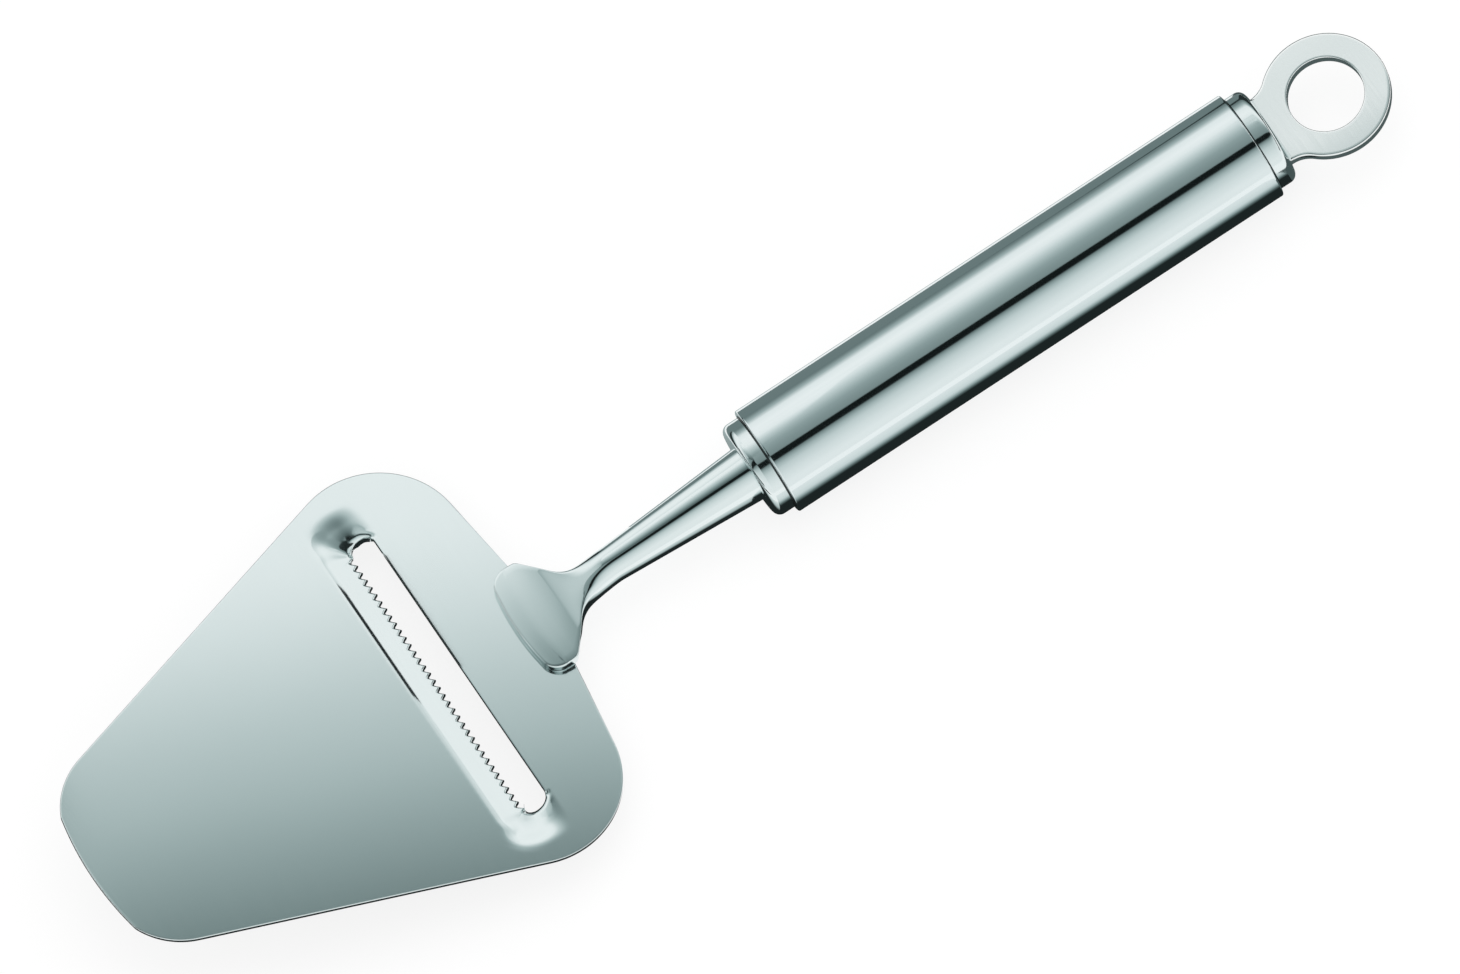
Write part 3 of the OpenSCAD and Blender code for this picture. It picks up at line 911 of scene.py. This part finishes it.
def tent():
    """A half tunnel of cloth along the handle, lit unevenly."""
    steps = 60
    material, tree, glow = emitting("tent_cloth")
    place = tree.nodes.new("ShaderNodeTexCoord")
    split = tree.nodes.new("ShaderNodeSeparateXYZ")
    angle = tree.nodes.new("ShaderNodeMath")
    angle.operation = "ARCTAN2"
    forward = tree.nodes.new("ShaderNodeMapRange")
    forward.interpolation_type = "SMOOTHSTEP"
    forward.inputs["From Min"].default_value = TENT_TURN_XS[0]
    forward.inputs["From Max"].default_value = TENT_TURN_XS[1]
    forward.inputs["To Max"].default_value = TENT_TURN
    turned_on = tree.nodes.new("ShaderNodeMath")
    turned_on.operation = "ADD"
    span = tree.nodes.new("ShaderNodeMapRange")
    span.inputs["From Min"].default_value = -math.pi / 2
    span.inputs["From Max"].default_value = math.pi / 2
    ramp = tree.nodes.new("ShaderNodeValToRGB")
    ramp_stops(ramp.color_ramp, [((degrees + 90) / 180, level) for degrees, level in TENT_LEVELS])
    tree.links.new(place.outputs["Object"], split.inputs["Vector"])
    tree.links.new(split.outputs["Y"], angle.inputs[0])
    tree.links.new(split.outputs["Z"], angle.inputs[1])
    tree.links.new(split.outputs["X"], forward.inputs["Value"])
    tree.links.new(angle.outputs["Value"], turned_on.inputs[0])
    tree.links.new(forward.outputs["Result"], turned_on.inputs[1])
    tree.links.new(turned_on.outputs["Value"], span.inputs["Value"])
    tree.links.new(span.outputs["Result"], ramp.inputs["Fac"])
    tree.links.new(ramp.outputs["Color"], glow.inputs["Color"])

    bm = bmesh.new()
    angles = [math.radians(-90 + 180 * k / steps) for k in range(steps + 1)]
    verts = [bm.verts.new((-TENT_HALF_LEN, TENT_R * math.sin(a), TENT_R * math.cos(a))) for a in angles]
    edges = [bm.edges.new(pair) for pair in zip(verts, verts[1:])]
    made = bmesh.ops.extrude_edge_only(bm, edges=edges)["geom"]
    moved = [g for g in made if isinstance(g, bmesh.types.BMVert)]
    bmesh.ops.translate(bm, vec=(2 * TENT_HALF_LEN, 0, 0), verts=moved)
    cloth = in_studio("tent", bm, material)
    cloth.location = (0, 0, TENT_RISE)
    only_mirrored(cloth)


def card(name, low, high, stops, along="Y", turn=0.0):
    """A flat or upright card between two corners, turned about Z, with its levels at places on one axis."""
    thin = 0.001
    size = [b - a for a, b in zip(low, high)]
    middle = [(a + b) / 2 for a, b in zip(low, high)]
    material, tree, glow = emitting(name)
    if len(stops) == 1:
        glow.inputs["Color"].default_value = tone(stops[0][1])
    else:
        axis = "XYZ".index(along)
        place = tree.nodes.new("ShaderNodeTexCoord")
        split = tree.nodes.new("ShaderNodeSeparateXYZ")
        span = tree.nodes.new("ShaderNodeMapRange")
        span.inputs["From Min"].default_value = low[axis] - middle[axis]
        span.inputs["From Max"].default_value = high[axis] - middle[axis]
        ramp = tree.nodes.new("ShaderNodeValToRGB")
        ramp_stops(ramp.color_ramp, [((at - low[axis]) / size[axis], level) for at, level in stops])
        tree.links.new(place.outputs["Object"], split.inputs["Vector"])
        tree.links.new(split.outputs[along], span.inputs["Value"])
        tree.links.new(span.outputs["Result"], ramp.inputs["Fac"])
        tree.links.new(ramp.outputs["Color"], glow.inputs["Color"])

    bm = bmesh.new()
    bmesh.ops.create_grid(bm, x_segments=1, y_segments=1, size=0.5)
    if size[0] == 0:
        bmesh.ops.rotate(bm, verts=bm.verts, matrix=Matrix.Rotation(math.pi / 2, 3, "Y"))
    bmesh.ops.scale(bm, vec=[max(extent, thin) for extent in size], verts=bm.verts)
    sheet = in_studio(name, bm, material)
    sheet.location = middle
    sheet.rotation_euler = (0, 0, turn)
    only_mirrored(sheet)


def cards_above():
    """Cards well above the slicer, which the flat tops of the blade, the neck and the eye mirror."""
    card("blade_card", (-0.024, -0.125, 0.14), (0.094, 0.0, 0.14),
         [(-0.125, 1.0), (-0.088, 0.95), (-0.0734, 0.82), (-0.0587, 0.66), (-0.045, 0.54), (-0.0377, 0.45),
          (-0.0303, 0.37), (-0.023, 0.29), (-0.0135, 0.2), (-0.003, 0.12)], turn=CARD_TURN)
    card("neck_card", (0.0844, -0.0871, 0.1395), (0.1644, -0.0311, 0.1395),
         [(0.0844, 0.44), (0.099, 0.56), (0.129, 0.66), (0.1644, 0.7)], "X", CARD_TURN)
    card("eye_card", (-0.17, -0.09, 0.14), (-0.1145, -0.02, 0.14),
         [(-0.09, 0.8), (-0.0617, 0.81), (-0.0587, 0.75), (-0.052, 0.77), (-0.0438, 0.84), (-0.0422, 0.74),
          (-0.039, 0.6), (-0.02, 0.4)])


def cards_on_floor():
    """Cards that lie on the floor beside and under the slicer, and darken what its lower sides mirror."""
    low = ABOVE_FLOOR
    card("handle_floor", (-0.106, 0.0, low), (0.001, 0.08, low),
         [(0.0, 0.02), (0.0195, 0.02), (0.022, 0.12), (0.025, 0.34), (0.0285, 0.58), (0.033, 0.76),
          (0.045, 0.84), (0.08, 0.9)])
    card("rod_floor", (0.001, 0.0, low), (0.036, 0.03, low),
         [(0.0, 0.02), (0.012, 0.02), (0.0165, 0.55), (0.03, 0.9)])
    card("cap_floor", (-0.106, -0.02, low), (0.02, 0.0, low), [(-0.02, 0.5), (0.0, 0.2)])
    card("side_floor", (-0.114, -2.0, low), (0.03, -0.028, low), [(0, 0.22)])
    card("blade_side", (0.03, -2.0, low), (2.0, -0.028, low), [(0, 0.03)])
    card("eye_side", (-2.0, -2.0, low), (-0.114, -0.028, low), [(0, 0.03)])
    card("blade_floor", (0.045, -0.0275, low), (0.15, 0.07, low), [(0, 0.02)])
    card("eye_floor", (-0.15, -0.0275, low), (-0.106, 0.04, low), [(0, 0.1)])


def cards_upright():
    """Dark cards far ahead of and behind the slicer."""
    card("front_end", (0.9, -0.6, 0.0), (0.9, 0.6, 0.16), [(0, 0.05)])
    card("rear_end", (-0.9, -0.6, 0.0), (-0.9, 0.6, 0.12), [(0, 0.05)])


def card_over_slot():
    """A small dark card close above one half of the slot, which the steel round it mirrors."""
    card("slot_shade", (0.0535, -0.0275, 0.018), (0.0605, -0.003, 0.018), [(0, 0.02)])


def seen_rays(tree):
    """An output that is 1 for rays from the camera, mirrored rays and those that pass through, else 0."""
    rays = tree.nodes.new("ShaderNodeLightPath")
    either = tree.nodes.new("ShaderNodeMath")
    either.operation = "MAXIMUM"
    any_ray = tree.nodes.new("ShaderNodeMath")
    any_ray.operation = "MAXIMUM"
    tree.links.new(rays.outputs["Is Camera Ray"], either.inputs[0])
    tree.links.new(rays.outputs["Is Glossy Ray"], either.inputs[1])
    tree.links.new(either.outputs["Value"], any_ray.inputs[0])
    tree.links.new(rays.outputs["Is Transmission Ray"], any_ray.inputs[1])
    return any_ray.outputs["Value"]


def white_floor():
    """A pale floor that glows as it is seen and mirrored, but doesn't light the slicer from below."""
    material = bpy.data.materials.new("floor_white")
    material.use_nodes = True
    tree = material.node_tree
    shader = tree.nodes["Principled BSDF"]
    shader.inputs["Base Color"].default_value = (0.2, 0.2, 0.2, 1)
    shader.inputs["Roughness"].default_value = 1.0
    shader.inputs["Specular IOR Level"].default_value = 0.0
    shader.inputs["Emission Color"].default_value = (1, 1, 1, 1)
    white = tree.nodes.new("ShaderNodeMath")
    white.operation = "MULTIPLY"
    white.inputs[1].default_value = FLOOR_GLOW
    tree.links.new(seen_rays(tree), white.inputs[0])
    tree.links.new(white.outputs["Value"], shader.inputs["Emission Strength"])

    bm = bmesh.new()
    bmesh.ops.create_grid(bm, x_segments=1, y_segments=1, size=8.0)
    floor = in_studio("floor", bm, material)


def white_sky():
    """A white surround, a little dimmer as a light than as it is seen."""
    world = bpy.data.worlds.new("studio")
    bpy.context.scene.world = world
    world.use_nodes = True
    tree = world.node_tree
    tree.nodes.clear()
    out = tree.nodes.new("ShaderNodeOutputWorld")
    lit = tree.nodes.new("ShaderNodeBackground")
    lit.inputs["Color"].default_value = (1, 1, 1, 1)
    lit.inputs["Strength"].default_value = SKY_LIGHT
    seen = tree.nodes.new("ShaderNodeBackground")
    seen.inputs["Color"].default_value = (1, 1, 1, 1)
    seen.inputs["Strength"].default_value = 1.0
    both = tree.nodes.new("ShaderNodeMixShader")
    tree.links.new(seen_rays(tree), both.inputs["Fac"])
    tree.links.new(lit.outputs["Background"], both.inputs[1])
    tree.links.new(seen.outputs["Background"], both.inputs[2])
    tree.links.new(both.outputs["Shader"], out.inputs["Surface"])


def soft_key():
    """One wide lamp above, for the soft shadow."""
    data = bpy.data.lights.new("soft_key", "AREA")
    data.shape = "SQUARE"
    data.size = 1.6
    data.energy = 8
    key = bpy.data.objects.new("soft_key", data)
    key.location = (-0.5, -0.4, 1.8)
    key.rotation_euler = (-key.location).to_track_quat("-Z", "Y").to_euler()
    key.visible_glossy = False
    bpy.context.scene.collection.objects.link(key)


make_blade()
make_shank()
make_tube()
make_caps()
make_seams()
make_eye()
colour_inner_welds()

white_floor()
white_sky()
soft_key()
tent()
cards_above()
cards_on_floor()
cards_upright()
card_over_slot()
camera()
bpy.context.scene.view_settings.view_transform = "Standard"
